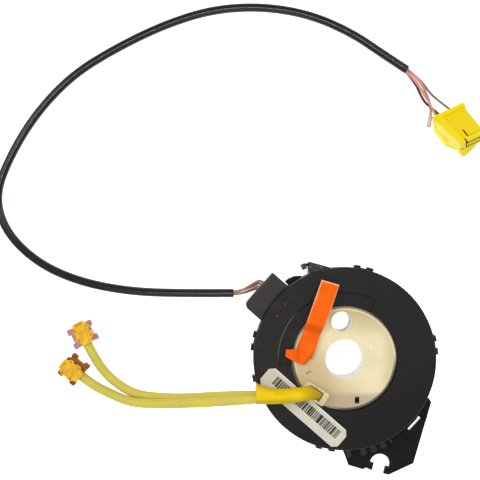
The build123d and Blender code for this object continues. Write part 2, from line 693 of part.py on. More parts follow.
with BuildPart() as lock_tab:
    with BuildSketch(Plane.XY.offset(tab_low)):
        with BuildLine():
            Polyline(*tab_outline, close=True)
        make_face()
    extrude(amount=tab_t + tab_step)
    with BuildSketch(tab_side):
        with BuildLine():
            Polyline((tab_span[0], tab_low), (tab_crank[0], tab_low), (tab_crank[1], tab_low + tab_step),
                     (tab_span[1], tab_low + tab_step), (tab_span[1], tab_low + tab_step + tab_t),
                     (tab_crank[1] - 0.6, tab_low + tab_step + tab_t), (tab_crank[0] - 0.6, tab_low + tab_t),
                     (tab_span[0], tab_low + tab_t), close=True)
        make_face()
    extrude(amount=60, both=True, mode=Mode.INTERSECT)
    # the foot's top slopes down to its end
    with BuildSketch(Plane.XZ):
        with BuildLine():
            Polyline((tab_foot_x, tab_low + tab_t), (tab_foot_end, tab_low + tab_t - tab_foot_drop),
                     (tab_foot_end, tab_low + 2 * tab_t), (tab_foot_x, tab_low + 2 * tab_t), close=True)
        make_face()
    extrude(amount=20, both=True, mode=Mode.SUBTRACT)
    # pin into the disc's seat
    with BuildSketch(Plane.XY.offset(tab_low - tab_pin_l)):
        with Locations(tab_pin_at):
            Rectangle(*tab_pin_size)
    extrude(amount=tab_pin_l + 0.5)
finish(lock_tab.part, "lock_tab")

# =====================================================================
# label
# =====================================================================
label_t = 0.15
label_off = 38.4         # its centre line from the axis
label_turn = -41.2
label_start = -30.4
label_end = 31.2
label_w = 13.3
label_cut = 2.7
label_normal = ray(-label_off, 90 + label_turn)
label_plane = Plane(origin=(*label_normal, case_h), x_dir=(*ray(1, label_turn), 0), z_dir=(0, 0, 1))
with BuildPart() as label:
    with BuildSketch(label_plane) as face:
        with Locations(((label_start + label_end) / 2, 0)):
            Rectangle(label_end - label_start, label_w)
        chamfer(face.vertices(), label_cut)
    extrude(amount=label_t)
finish(label.part, "label")

# =====================================================================
# Squib connectors at the ends of the wheel leads
# =====================================================================
nose_d = 10.2
nose_h = 6.0
squib_body_size = (12.4, 12.6)
squib_body_at = 0.3      # its middle, ahead of the nose
squib_body_round = 1.8
squib_body_low = 5.0
squib_body_h = 5.2
ear_size = (3.8, 2.6)
ear_places = (-4.6, 4.6) # of the four ears, along the plug
boot_d = 7.4
boot_l = 5.2
cover_spine = (14.4, 7.2)
cover_bar = (8.6, 10.8)
cover_at = 1.2
cover_shift = 1.0        # the cover sits to one side of the body
squib_cover_t = 2.3
squib_cover_low = squib_body_low + squib_body_h + tab_gap


def squib(route, colour, side_way):
    """The pieces of one plug: body, boot, cover and contacts, on the end of a lead."""
    end, before = route[-1], route[-2]
    heading = degrees(atan2(end[1] - before[1], end[0] - before[0]))
    ahead = (*ray(1, heading), 0)
    flat = Plane(origin=(end[0], end[1], 0), x_dir=ahead, z_dir=(0, 0, 1)).shift_origin(
        (end[0] + boot_l * ahead[0], end[1] + boot_l * ahead[1], 0))
    back = Plane(origin=end, x_dir=(-ahead[1], ahead[0], 0), z_dir=ahead)
    with BuildPart() as body:
        with BuildSketch(flat):
            Circle(nose_d / 2)
        extrude(amount=nose_h)
        with BuildSketch(flat.offset(squib_body_low)):
            with Locations((squib_body_at, 0)):
                RectangleRounded(*squib_body_size, squib_body_round)
        extrude(amount=squib_body_h)
        # four ears beyond the cover
        with BuildSketch(flat.offset(squib_body_low)):
            for at_x in ear_places:
                for side in (-1, 1):
                    with Locations((squib_body_at + at_x, side * (squib_body_size[1] / 2 + 0.4))):
                        RectangleRounded(*ear_size, 0.6)
            with Locations((squib_body_at + squib_body_size[0] / 2 + 0.3, 0)):
                Rectangle(2.2, 7.0)
        extrude(amount=squib_body_h - 1.2)
        # grooves round the nose, trough for the boot
        with BuildSketch(flat.offset(2.2)):
            Circle(nose_d / 2 + 1)
            Circle(nose_d / 2 - 0.6, mode=Mode.SUBTRACT)
        extrude(amount=1.2, mode=Mode.SUBTRACT)
        with BuildSketch(back.offset(-1)):
            Circle(boot_d / 2 + fit_gap / 2)
        extrude(amount=boot_l + 1.2, mode=Mode.SUBTRACT)
        # bores of the contacts
        with BuildSketch(flat):
            with Locations((0.6, -1.6), (0.6, 1.6)):
                Circle(0.8)
        extrude(amount=3.4, mode=Mode.SUBTRACT)
    finish(body.part, f"squib_body_{colour}")
    with BuildPart() as boot:
        with BuildSketch(back):
            Circle(boot_d / 2)
        extrude(amount=boot_l)
        chamfer(boot.faces().sort_by(Axis((0, 0, 0), ahead))[-1].edges(), 1.0)
    finish(boot.part, f"squib_boot_{colour}")
    with BuildPart() as cover:
        aside = side_way * cover_shift
        with BuildSketch(flat.offset(squib_cover_low)) as face:
            with Locations((cover_at, aside)):
                Rectangle(*cover_spine)
                Rectangle(*cover_bar)
            chamfer(face.vertices(), 0.9)
            # notches in the two sides
            with Locations((cover_at + 0.6, aside + cover_bar[1] / 2), (cover_at + 0.6, aside - cover_bar[1] / 2)):
                Rectangle(2.2, 1.6, mode=Mode.SUBTRACT)
        extrude(amount=squib_cover_t)
        # raised pad, finger step and four pockets
        with BuildSketch(flat.offset(squib_cover_low + squib_cover_t - 0.6)):
            with Locations((cover_at + 2.6, aside)):
                Rectangle(3.4, 5.6)
            with Locations((cover_at - 2.0, aside)):
                Rectangle(1.2, 8.0)
        extrude(amount=1.2)
        with BuildSketch(flat.offset(squib_cover_low + squib_cover_t - 1.0)):
            with Locations((cover_at, aside)):
                with GridLocations(6.0, 8.2, 2, 2):
                    Rectangle(1.3, 1.1)
            with Locations((cover_at + cover_spine[0] / 2 - 1.6, aside)):
                Rectangle(1.0, 3.6)
        extrude(amount=2.0, mode=Mode.SUBTRACT)
        with BuildSketch(back.offset(-4)):
            Circle(boot_d / 2 + tab_gap)
        extrude(amount=boot_l + 4 + tab_gap, mode=Mode.SUBTRACT)
    finish(cover.part, f"squib_cover_{colour}")
    with BuildPart() as contacts:
        with BuildSketch(flat.offset(0.4)):
            with Locations((0.6, -1.6), (0.6, 1.6)):
                Circle(0.6)
                Circle(0.35, mode=Mode.SUBTRACT)
        extrude(amount=3.0)
    finish(contacts.part, f"squib_contacts_{colour}")


squib(pink_route, "pink", -1)
squib(brown_route, "brown", 1)

# =====================================================================
# Column lead: sheath and wires
# =====================================================================
sheath_d = 5.2
sheath_bore = 4.5
sheath_z = sheath_d / 2
sheath_flat = ((-67.0, 38.8), (-96.8, 38.6), (-130.7, 39.7), (-162.6, 45.9), (-188.5, 57.9),
               (-207.5, 76.9), (-213.7, 99.1), (-203.8, 124.3), (-187.8, 150.1), (-165.7, 173.2),
               (-138.0, 190.1), (-108.5, 204.2), (-79.6, 213.2), (-49.5, 215.0), (-20.0, 210.1),
               (5.9, 198.7), (25.6, 185.2), (39.7, 176.0))
sheath_route = [(x, y, sheath_z) for x, y in sheath_flat]
sheath_solid = tube(sheath_route, sheath_d, "lead_sheath")
open_end = 4.0           # the sheath is open at both ends

with BuildPart() as lead_sheath:
    add(sheath_solid)
    for tip, behind in ((sheath_route[0], sheath_route[1]), (sheath_route[-1], sheath_route[-2])):
        inward = Vector(*behind) - Vector(*tip)
        with BuildSketch(Plane(origin=tip, z_dir=inward)):
            Circle(sheath_bore / 2)
        extrude(amount=open_end, mode=Mode.SUBTRACT)
finish(lead_sheath.part, "lead_sheath")

# short wires between the lead block and the sheath: two of each colour
cell = wire_d / 2 + 0.02
wire_stand = 1.8         # how far out of the block they run straight
wire_stagger = 0.7
block_wire_parts = []
for n in range(4):
    across_at = wire_exit_side + (n - 1.5) * wire_pitch
    level = 1 if n in (0, 2) else -1
    beside = 1 if n < 2 else -1
    corner_out = block_reach + wire_stand + (1.5 - n) * wire_stagger
    leave = block_plane.from_local_coords(Vector(carrier_face + 0.2, across_at, wire_exit_z + level * wire_row / 2))
    corner = block_plane.from_local_coords(Vector(corner_out, across_at, wire_exit_z - 0.3 + level * wire_row / 2))
    start = Vector(*sheath_route[0])
    near = start + Vector(5.5 - beside * 0.3, 0.8 + beside * 0.88, 0.8 + level * (cell + 0.14))
    end = start + Vector(-1.2, beside * cell, level * cell)
    route = [tuple(p) for p in (leave, corner, near, end)]
    block_wire_parts.append(tube(route, wire_d, f"block wire {n}"))
for colour, numbers in (("pink", (0, 2)), ("grey", (1, 3))):
    with BuildPart() as block_wires:
        for n in numbers:
            add(block_wire_parts[n])
    finish(block_wires.part, f"block_wires_{colour}")

# =====================================================================
# harness_connector: it lies tilted, nose up, on one rear corner
# =====================================================================
plug_yaw = -60.0
plug_pitch = 36.0
plug_roll = -7.0
plug_l = 26.6
plug_w = 20.5
plug_h = 14.0
plug_deck_h = 4.5        # narrower lower part
plug_deck_w = 18.0
plug_taper = 3.4         # the left side comes in towards the nose
plug_flank = (13.0, 20.0, 4.2)  # the deck's left side: straight to here, then in by there
plug_core = 6.0
plug_recess = 1.4
front_lock_t = 1.4
lock_mid = 12.3          # middle of the front lock, across
lock_mid_h = 9.6         # and its height
lock_w = 9.8
lock_h = 3.4
lock_hole_pitch = 2.2
front_lock_travel = 3.0
cavity_h = 7.0
cavity_first = 4.6
cavity_pitch = 2.6
cavity_count = 5
cavity_d = 1.9
cavity_l = 12.5

plug_ahead = Vector(cos(radians(plug_pitch)) * cos(radians(plug_yaw)),
                    cos(radians(plug_pitch)) * sin(radians(plug_yaw)), sin(radians(plug_pitch)))
level_across = Vector(-sin(radians(plug_yaw)), cos(radians(plug_yaw)), 0)
level_up = plug_ahead.cross(level_across)
plug_across = level_across * cos(radians(plug_roll)) + level_up * sin(radians(plug_roll))
plug_up = plug_ahead.cross(plug_across)
plug_origin = Vector(56.3, 137.8, -plug_deck_w * plug_across.Z)
plug_plane = Plane(origin=plug_origin, x_dir=plug_ahead, z_dir=plug_up)
nose_plane = Plane(origin=plug_origin, x_dir=plug_across, z_dir=plug_ahead)

with BuildPart() as harness_connector:
    with BuildSketch(plug_plane.offset(plug_deck_h)):
        with BuildLine():
            Polyline((0, 0), (plug_l, plug_taper), (plug_l, plug_w), (0, plug_w), close=True)
        make_face()
    extrude(amount=plug_h - plug_deck_h)
    with BuildSketch(plug_plane):
        with BuildLine():
            Polyline((0, 0), (plug_flank[0], 0), (plug_flank[1], plug_flank[2]), (plug_l, 4.4), (plug_l, plug_deck_w - 1.5),
                     (0, plug_deck_w), close=True)
        make_face()
    extrude(amount=plug_deck_h + 0.01)
    # cut away under the nose's right side
    with BuildSketch(nose_plane.offset(10.0)):
        with BuildLine():
            Polyline((6.0, -0.1), (plug_w, -0.1), (plug_w, 9.0), (16.0, 6.6), (10.6, 2.2), close=True)
        make_face()
    extrude(amount=plug_l, mode=Mode.SUBTRACT)
    # sloping left side from the deck up to the body
    with BuildSketch(plug_plane):
        with BuildLine():
            Polyline((0, 0), (plug_flank[0], 0), (plug_flank[1], plug_flank[2]), (plug_flank[1], plug_core),
                     (0, plug_core), close=True)
        make_face()
    with BuildSketch(plug_plane.offset(plug_h)):
        with BuildLine():
            Polyline((0, 0), (plug_flank[0], plug_taper * plug_flank[0] / plug_l),
                     (plug_flank[1], plug_taper * plug_flank[1] / plug_l), (plug_flank[1], plug_core),
                     (0, plug_core), close=True)
        make_face()
    loft(ruled=True)
    # collar round the rear end
    with BuildSketch(plug_plane.offset(plug_deck_h)):
        with Locations((1.3, plug_w / 2 + 0.2)):
            Rectangle(2.6, plug_w + 0.8)
    extrude(amount=plug_h - plug_deck_h + 0.5)
    chamfer(harness_connector.edges().filter_by(lambda e: e.length > 15).sort_by(
        lambda e: plug_plane.to_local_coords(e.center()).Z - plug_plane.to_local_coords(e.center()).Y)[-1:], 0.6)
    # recess in the top, open to the right
    with BuildSketch(plug_plane.offset(plug_h - plug_recess)):
        with BuildLine():
            Polyline((2.8, 5.4), (23.9, 6.6), (23.9, plug_w + 1), (2.8, plug_w + 1), close=True)
        make_face()
    extrude(amount=plug_recess + 1, mode=Mode.SUBTRACT)
    # slots round the latch tongue, and the relief under it
    with BuildSketch(plug_plane.offset(plug_h - plug_recess - 1.8)):
        with Locations((20.6, 10.7)):
            Rectangle(6.6, 0.9)
        with Locations((23.6, 14.4)):
            Rectangle(1.3, 8.2)
    extrude(amount=plug_recess + 3, mode=Mode.SUBTRACT)
    with BuildSketch(plug_plane.offset(lock_mid_h + lock_h / 2 - 0.5)):
        with Locations((22.2, 14.2)):
            Rectangle(4.4, 8.4)
    extrude(amount=plug_h - plug_recess - 0.7 - (lock_mid_h + lock_h / 2 - 0.5), mode=Mode.SUBTRACT)
    # pocket of the front lock, and the hook-shaped slit above its left end
    with BuildSketch(nose_plane.offset(plug_l - 9)):
        with Locations((lock_mid, lock_mid_h)):
            Rectangle(lock_w, lock_h)
    extrude(amount=9.1, mode=Mode.SUBTRACT)
    with BuildSketch(nose_plane.offset(plug_l - 2.4)):
        with BuildLine():
            Polyline((7.1, plug_h + 1), (7.1, 12.9), (7.9, 11.0), (9.3, 11.0), (8.2, 13.2), (8.2, plug_h + 1),
                     close=True)
        make_face()
    extrude(amount=2.5, mode=Mode.SUBTRACT)
    with BuildSketch(nose_plane.offset(plug_l - 3)):
        with Locations((4.7, 8.1)):
            Rectangle(2.4, 1.5)
    extrude(amount=3.1, mode=Mode.SUBTRACT)
    # cavities for the wires
    with BuildSketch(nose_plane):
        for n in range(cavity_count):
            with Locations((cavity_first + n * cavity_pitch, cavity_h)):
                Circle(cavity_d / 2)
    extrude(amount=cavity_l, mode=Mode.SUBTRACT)
finish(harness_connector.part, "harness_connector")

with BuildPart() as harness_front_lock:
    with BuildSketch(nose_plane.offset(plug_l - front_lock_t)):
        with Locations((lock_mid, lock_mid_h)):
            Rectangle(lock_w - 2 * tab_gap, lock_h - 2 * tab_gap)
    extrude(amount=front_lock_t)
    with BuildSketch(nose_plane.offset(plug_l - 7.5)):
        with Locations((lock_mid, lock_mid_h)):
            with GridLocations(lock_w - 2.2, 0, 2, 1):
                Rectangle(1.4, lock_h - 2 * tab_gap)
    extrude(amount=6.2)
    with BuildSketch(nose_plane.offset(plug_l - 1.5)):
        with Locations((lock_mid, lock_mid_h - 0.4)):
            with GridLocations(lock_hole_pitch, 0, 4, 1):
                Rectangle(1.5, 1.0)
    extrude(amount=2, mode=Mode.SUBTRACT)
finish(harness_front_lock.part, "harness_front_lock")

terminal_at = 3.2
with BuildPart() as harness_terminals:
    with BuildSketch(nose_plane.offset(terminal_at)):
        for n in range(cavity_count):
            with Locations((cavity_first + n * cavity_pitch, cavity_h)):
                Circle(cavity_d / 2 - 0.1)
    extrude(amount=cavity_l - terminal_at - 0.3)
    with BuildSketch(nose_plane.offset(terminal_at + 3)):
        for n in range(cavity_count):
            with Locations((cavity_first + n * cavity_pitch, cavity_h)):
                Circle(0.45)
    extrude(amount=cavity_l, mode=Mode.SUBTRACT)
finish(harness_terminals.part, "harness_terminals")


def cavity(n, ahead):
    """A point on the middle line of one cavity, ahead of the rear face (or behind it)."""
    return plug_plane.from_local_coords(Vector(ahead, cavity_first + n * cavity_pitch, cavity_h))


# wires between the sheath's open end and the connector
end_of_sheath = Vector(*sheath_route[-1])
end_way = (end_of_sheath - Vector(*sheath_route[-2])).normalized()
end_side = Vector(-end_way.Y, end_way.X, 0)


def sheath_cell(side, level):
    """Where one of the four wires starts, just inside the sheath's end."""
    return end_of_sheath - end_way * 1.2 + end_side * (side * cell) + Vector(0, 0, level * cell)


in_plug = 2.5
out_plug = 4.0
wire_low = wire_d / 2 + 0.1
brown_wire = [sheath_cell(-1, -1), Vector(44.9, 168.3, wire_low), Vector(48.0, 161.3, wire_low),
              Vector(50.9, 155.9, 1.3), Vector(54.8, 152.6, 2.9), cavity(1, -out_plug), cavity(1, in_plug)]
pink_wire = [sheath_cell(-1, 1), Vector(45.2, 169.0, 2.9), Vector(49.6, 161.5, 3.3),
             Vector(53.2, 155.4, 4.9), cavity(0, -out_plug), cavity(0, in_plug)]
spare_wire = [sheath_cell(1, 1), Vector(47.3, 169.9, 2.9), Vector(52.0, 161.2, 1.5),
              Vector(55.1, 152.2, wire_low), Vector(54.0, 146.4, 1.4)]
grey_wire = [sheath_cell(1, -1), Vector(48.2, 170.2, wire_low), Vector(54.0, 162.0, wire_low),
             Vector(59.0, 157.4, 1.3), cavity(4, -out_plug), cavity(4, in_plug)]
for name, points in (("wire_brown", brown_wire), ("wire_pink", pink_wire),
                     ("wire_spare", spare_wire), ("wire_grey", grey_wire)):
    print(name, [tuple(round(v, 2) for v in p) for p in points])
    finish(tube([tuple(p) for p in points], wire_d, name), name)

# cap on the spare wire
splice_d = 2.8
splice_ends = ((54.2, 147.6), (53.0, 140.6))
splice_from = Vector(*splice_ends[0], splice_d / 2)
splice_to = Vector(*splice_ends[1], splice_d / 2)
with BuildPart() as splice_cap:
    with BuildSketch(Plane(origin=splice_from, z_dir=splice_to - splice_from)):
        Circle(splice_d / 2)
    extrude(amount=(splice_to - splice_from).length)
    with BuildSketch(Plane(origin=splice_from, z_dir=splice_to - splice_from)):
        Circle(wire_d / 2 + 0.25)
    extrude(amount=2.0, mode=Mode.SUBTRACT)
    chamfer(splice_cap.faces().sort_by(Axis.Y)[0].edges(), 0.5)
finish(splice_cap.part, "splice_cap")
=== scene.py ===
import math
import bpy
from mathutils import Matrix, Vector


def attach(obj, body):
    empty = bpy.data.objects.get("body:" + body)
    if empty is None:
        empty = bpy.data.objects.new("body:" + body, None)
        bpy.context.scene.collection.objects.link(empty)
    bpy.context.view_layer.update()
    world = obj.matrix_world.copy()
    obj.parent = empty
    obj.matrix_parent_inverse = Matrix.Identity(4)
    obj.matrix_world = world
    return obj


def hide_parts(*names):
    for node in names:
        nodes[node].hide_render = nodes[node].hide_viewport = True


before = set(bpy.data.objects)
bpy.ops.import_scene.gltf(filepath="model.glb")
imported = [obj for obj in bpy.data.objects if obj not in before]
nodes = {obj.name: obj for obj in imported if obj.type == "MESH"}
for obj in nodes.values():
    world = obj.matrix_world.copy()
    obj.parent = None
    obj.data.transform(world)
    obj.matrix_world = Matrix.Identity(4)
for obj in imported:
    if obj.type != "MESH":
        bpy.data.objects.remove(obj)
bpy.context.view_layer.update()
print("frame loaded:", len(nodes), "nodes")

mm = 0.001


def inMetres(points):
    return [tuple(v * mm for v in point) for point in points]


def hexColour(code):
    # sRGB hex to the linear values that shaders take
    parts = [int(code[i:i + 2], 16) / 255 for i in (1, 3, 5)]
    linear = [c / 12.92 if c <= 0.04045 else ((c + 0.055) / 1.055) ** 2.4 for c in parts]
    return (*linear, 1.0)


def addNode(tree, kind, inputs=None, **settings):
    # one node with its settings; an input is a value, or a socket to link from
    node = tree.nodes.new(kind)
    for key, value in settings.items():
        setattr(node, key, value)
    for key, value in (inputs or {}).items():
        if isinstance(value, bpy.types.NodeSocket):
            tree.links.new(value, node.inputs[key])
        else:
            node.inputs[key].default_value = value
    return node


def newMaterial(name):
    material = bpy.data.materials.new(name)
    material.use_nodes = True
    material.node_tree.nodes.clear()
    return material, material.node_tree


def finishTree(tree, inputs):
    # a material ends in one shader, whose inputs are values or the sockets that vary over its surface
    shader = addNode(tree, "ShaderNodeBsdfPrincipled", inputs)
    addNode(tree, "ShaderNodeOutputMaterial", {"Surface": shader.outputs[0]})


# ---- camera and light
camera = {
    "place": (-0.063, 0.0714, 0.720),  # straight above the middle of the laid-out part
    "lens": 87.5,
    "sensor": 36.0,
}
cameraData = bpy.data.cameras.new("camera")
cameraData.lens = camera["lens"]
cameraData.sensor_width = camera["sensor"]
cameraObject = bpy.data.objects.new("camera", cameraData)
cameraObject.location = camera["place"]
bpy.context.collection.objects.link(cameraObject)
bpy.context.scene.camera = cameraObject
bpy.context.scene.view_settings.view_transform = "Standard"

light = {
    "world": 0.50,
    "white": (1, 1, 1, 1),
    "aim": (-0.06, 0.07, 0.0),
    "lamps": [  # place, size, watts
        ((-0.9, 0.35, 1.05), 0.8, 5.5),
        ((0.75, 0.55, 1.05), 0.8, 3.8),
        ((-0.05, -0.85, 1.0), 0.7, 2.2),
        ((-0.063, 0.05, 1.25), 0.16, 2.0),
    ],
}
world = bpy.data.worlds.new("studio")
bpy.context.scene.world = world
world.use_nodes = True
studio = world.node_tree
studio.nodes.clear()
paths = addNode(studio, "ShaderNodeLightPath")
dim, bright = [addNode(studio, "ShaderNodeBackground", {"Color": light["white"], "Strength": strength})
               for strength in (light["world"], 1.0)]
seen = addNode(studio, "ShaderNodeMixShader", {0: paths.outputs["Is Camera Ray"], 1: dim.outputs[0],
                                               2: bright.outputs[0]})
addNode(studio, "ShaderNodeOutputWorld", {"Surface": seen.outputs[0]})
for index, (place, size, watts) in enumerate(light["lamps"]):
    lampData = bpy.data.lights.new(f"softbox{index}", "AREA")
    lampData.size = size
    lampData.energy = watts
    lamp = bpy.data.objects.new(f"softbox{index}", lampData)
    lamp.location = place
    lamp.rotation_euler = (Vector(light["aim"]) - Vector(place)).to_track_quat("-Z", "Y").to_euler()
    bpy.context.collection.objects.link(lamp)

sweep = {"half": 4, "height": -0.0003, "colour": "#fbfbfb", "roughness": 0.9, "glow": 0.84}
half = sweep["half"]
floorMesh = bpy.data.meshes.new("floor")
floorMesh.from_pydata([(-half, -half, 0), (half, -half, 0), (half, half, 0), (-half, half, 0)], [],
                      [(0, 1, 2, 3)])
floor = bpy.data.objects.new("floor", floorMesh)
floor.location.z = sweep["height"]
bpy.context.collection.objects.link(floor)


def paperSweep():
    # matt white paper: it shows white to the eye and keeps the part's soft shadow
    material, tree = newMaterial("paperSweep")
    paths = addNode(tree, "ShaderNodeLightPath")
    glow = paths.outputs["Is Camera Ray"]
    for operation, value in (("ADD", paths.outputs["Is Glossy Ray"]),
                             ("ADD", paths.outputs["Is Transmission Ray"]),
                             ("MINIMUM", 1.0), ("MULTIPLY", sweep["glow"])):
        glow = addNode(tree, "ShaderNodeMath", {0: glow, 1: value}, operation=operation).outputs[0]
    finishTree(tree, {"Base Color": hexColour(sweep["colour"]), "Roughness": sweep["roughness"],
                      "Specular IOR Level": 0.0, "Emission Color": light["white"], "Emission Strength": glow})
    return material


floorMesh.materials.append(paperSweep())
print("camera, lamps and floor")


# ---- how marks are laid over a surface
def turned(degrees):
    # a level direction, turned from X
    angle = math.radians(degrees)
    return (math.cos(angle), math.sin(angle), 0)


def along(tree, place, direction, origin=(0, 0, 0)):
    # distance in mm along a direction of the shared frame, from an origin in mm
    offset = addNode(tree, "ShaderNodeVectorMath", {0: place, 1: inMetres([origin])[0]}, operation="SUBTRACT")
    perMm = tuple(v / mm for v in direction)
    dot = addNode(tree, "ShaderNodeVectorMath", {0: offset.outputs[0], 1: perMm}, operation="DOT_PRODUCT")
    return dot.outputs["Value"]


def fromAxis(tree, place, centre=(0, 0)):
    # distance in mm from an upright axis; the rotor's is at 0, 0
    sides = [along(tree, place, direction, (*centre, 0)) for direction in ((1, 0, 0), (0, 1, 0))]
    flat = addNode(tree, "ShaderNodeCombineXYZ", {0: sides[0], 1: sides[1]})
    return addNode(tree, "ShaderNodeVectorMath", {0: flat.outputs[0]}, operation="LENGTH").outputs["Value"]


def mask(tree, *parts, strength=1.0, beside=None):
    # the product of its parts. Each part is another mask, or (value, start, end) for one smooth step, or
    # (value, low, high, soft) for a stretch with soft ends. Beside a second mask, the larger one counts
    shown = strength
    for part in parts:
        factors = [part]
        if isinstance(part, tuple):
            value, start, end, *soft = part
            spans = [(start, end)]
            if soft:
                spans = [(start - soft[0], start + soft[0]), (end + soft[0], end - soft[0])]
            factors = []
            for first, last in spans:
                limits = {"Value": value, "From Min": first, "From Max": last}
                rise = addNode(tree, "ShaderNodeMapRange", limits, interpolation_type="SMOOTHSTEP")
                factors.append(rise.outputs[0])
        for factor in factors:
            shown = addNode(tree, "ShaderNodeMath", {0: shown, 1: factor}, operation="MULTIPLY").outputs[0]
    if beside is not None:
        shown = addNode(tree, "ShaderNodeMath", {0: shown, 1: beside}, operation="MAXIMUM").outputs[0]
    return shown


def paint(tree, colour, tone, *parts):
    # lays a tone, which is a colour and its strength, over the first colour where these parts show it
    over, strength = tone
    if isinstance(over, str):
        over = hexColour(over)
    shown = mask(tree, *parts, strength=strength)
    return addNode(tree, "ShaderNodeMix", {0: shown, 6: colour, 7: over}, data_type="RGBA").outputs[2]


def spots(tree, place, centres, radius, soft=0.25):
    # 1 inside small round marks, seen along Z
    total = None
    for centre in centres:
        total = mask(tree, (fromAxis(tree, place, centre), radius + soft, radius - soft), beside=total)
    return total


def layTones(tree, place, colour, tones):
    # tones that grow along a direction, each between a start and an end in mm
    for *tone, direction, start, end in tones:
        colour = paint(tree, colour, tone, (along(tree, place, direction), start, end))
    return colour


# ---- materials
moulding = {  # how each moulded surface varies round its own look
    "mottle": {"Detail": 3.0, "Roughness": 0.6}, "mottleSpan": (0.35, 0.65),
    "grain": {"Detail": 4.0, "Roughness": 0.55}, "grainSpan": (0.3, 0.7),
    "glossSpread": (-0.05, 0.07), "reliefPerGrain": 0.12,
}


def mouldedPlastic(name, look, marks=None):
    # an injection-moulded surface: fine spark-eroded grain, slow uneven shade, sheen that varies a little
    material, tree = newMaterial(name)
    place = addNode(tree, "ShaderNodeTexCoord").outputs["Object"]
    slow = addNode(tree, "ShaderNodeTexNoise", {"Vector": place, "Scale": 1 / (look["mottleMm"] * mm),
                                                **moulding["mottle"]})
    low, high = moulding["mottleSpan"]
    shift = addNode(tree, "ShaderNodeMapRange", {"Value": slow.outputs[0], "From Min": low, "From Max": high})
    colour = paint(tree, hexColour(look["colour"]), (look["shade"], 1.0), shift.outputs[0])
    if marks:
        colour = marks(tree, place, colour)
    grain = addNode(tree, "ShaderNodeTexNoise", {"Vector": place, "Scale": 1 / (look["grainMm"] * mm),
                                                 **moulding["grain"]})
    low, high = moulding["grainSpan"]
    smoother, duller = moulding["glossSpread"]
    gloss = addNode(tree, "ShaderNodeMapRange", {
        "Value": grain.outputs[0], "From Min": low, "From Max": high,
        "To Min": look["roughness"] + smoother, "To Max": look["roughness"] + duller})
    relief = look["grainMm"] * mm * moulding["reliefPerGrain"]
    bump = addNode(tree, "ShaderNodeBump", {"Height": grain.outputs[0], "Strength": look["bump"],
                                            "Distance": relief})
    surface = {"Base Color": colour, "Roughness": gloss.outputs[0], "Normal": bump.outputs[0],
               "Specular IOR Level": look["specular"]}
    if "dullEdge" in look:
        # a bloom on the skin keeps its outline from mirroring the floor
        facing = addNode(tree, "ShaderNodeLayerWeight", {"Blend": 0.5}).outputs["Facing"]
        first, last = look["dullEdge"]
        sheen = addNode(tree, "ShaderNodeMapRange", {"Value": facing, "From Min": first, "From Max": last,
                                                     "To Min": look["specular"], "To Max": 0.0})
        surface["Specular IOR Level"] = sheen.outputs[0]
    if "subsurface" in look:
        surface["Subsurface Weight"] = look["subsurface"]
        surface["Subsurface Scale"] = look["depthMm"] * mm
        surface["Subsurface Radius"] = look["spread"]
    finishTree(tree, surface)
    return material


caseMarks = {
    "dust": ("#241f19", 0.8), "dustSide": ((-1, 0.3, 0), -10, 55),
    "patchMm": 5.5556, "patchDetail": 5.0, "patches": (0.3, 0.7),
    # painted highlight along the rounded edges on the left
    "paintedHighlight": ("#77716b", 0.65), "paintedHighlightSoft": 0.12,
    "paintedHighlightEdges": [  # reach from the axis, and the directions that limit it
        ((39.6, 40.35), [((-0.85, 0.5, 0), 32, 36), ((0, -1, 0), -30, -22)]),
        ((31.4, 32.1), [((-0.9, -0.4, 0), 24, 30)]),
    ],
    "tones": [("#070707", 0.75, (0.3, -0.95, 0), 12, 40)],
    "dots": [(-36.0, 33.0), (-40.8, 25.9)], "dotMm": 0.55, "dotTone": ("#4d4842", 1.0),
}


def caseDustAndHighlights(tree, place, colour):
    # brownish dust lies on the side away from the lamp
    direction, start, end = caseMarks["dustSide"]
    patchy = addNode(tree, "ShaderNodeTexNoise", {"Vector": place, "Scale": 1 / (caseMarks["patchMm"] * mm),
                                                  "Detail": caseMarks["patchDetail"]}).outputs[0]
    colour = paint(tree, colour, caseMarks["dust"], (along(tree, place, direction), start, end),
                   (patchy, *caseMarks["patches"]))
    # painted highlight: the rounded edges of the recess and the round opening are painted pale on the left,
    # where they catch the light
    reach = fromAxis(tree, place)
    paintedHighlight = None
    for edge, sides in caseMarks["paintedHighlightEdges"]:
        limits = [(along(tree, place, direction), start, end) for direction, start, end in sides]
        paintedHighlight = mask(tree, (reach, *edge, caseMarks["paintedHighlightSoft"]), *limits, beside=paintedHighlight)
    colour = paint(tree, colour, caseMarks["paintedHighlight"], paintedHighlight)
    # darker towards the lower right, and two tiny ejector marks show
    colour = layTones(tree, place, colour, caseMarks["tones"])
    dotted = spots(tree, place, caseMarks["dots"], caseMarks["dotMm"])
    return paint(tree, colour, caseMarks["dotTone"], dotted)


# PBT with glass fibre, moulded: near-black, satin, with a fine spark grain
casePlastic = mouldedPlastic("blackPbt", {
    "colour": "#131213", "shade": "#181616", "mottleMm": 14, "grainMm": 0.5, "bump": 0.25,
    "roughness": 0.5, "specular": 0.22}, caseDustAndHighlights)

baseMarks = {
    "ear": (-19.0, 57.0), "earReach": (11.0, 9.0), "earHeight": (11, 14),
    # painted highlight: the ear's lighter grey and its pale specks
    "earHighlighted": "#3b3834", "earHighlight": ("#77726a", 1.0),
    "speckMm": 0.9091, "speckDetail": 3.0, "specks": (0.52, 0.68),
    "gusset": ("#3c3a38", 1.0), "gussetReach": (55.8, 60.6, 0.5), "gussetHeight": (3.1, 3.6),
    "gussetSide": (45, 50),
    "gussetFeet": [(3.6, -60.6), (12.9, -59.1), (19.1, -57.3), (25.2, -54.8)], "footMm": 1.9,
    "footHeight": (2.7, 2.9), "footStrength": 0.8,
}


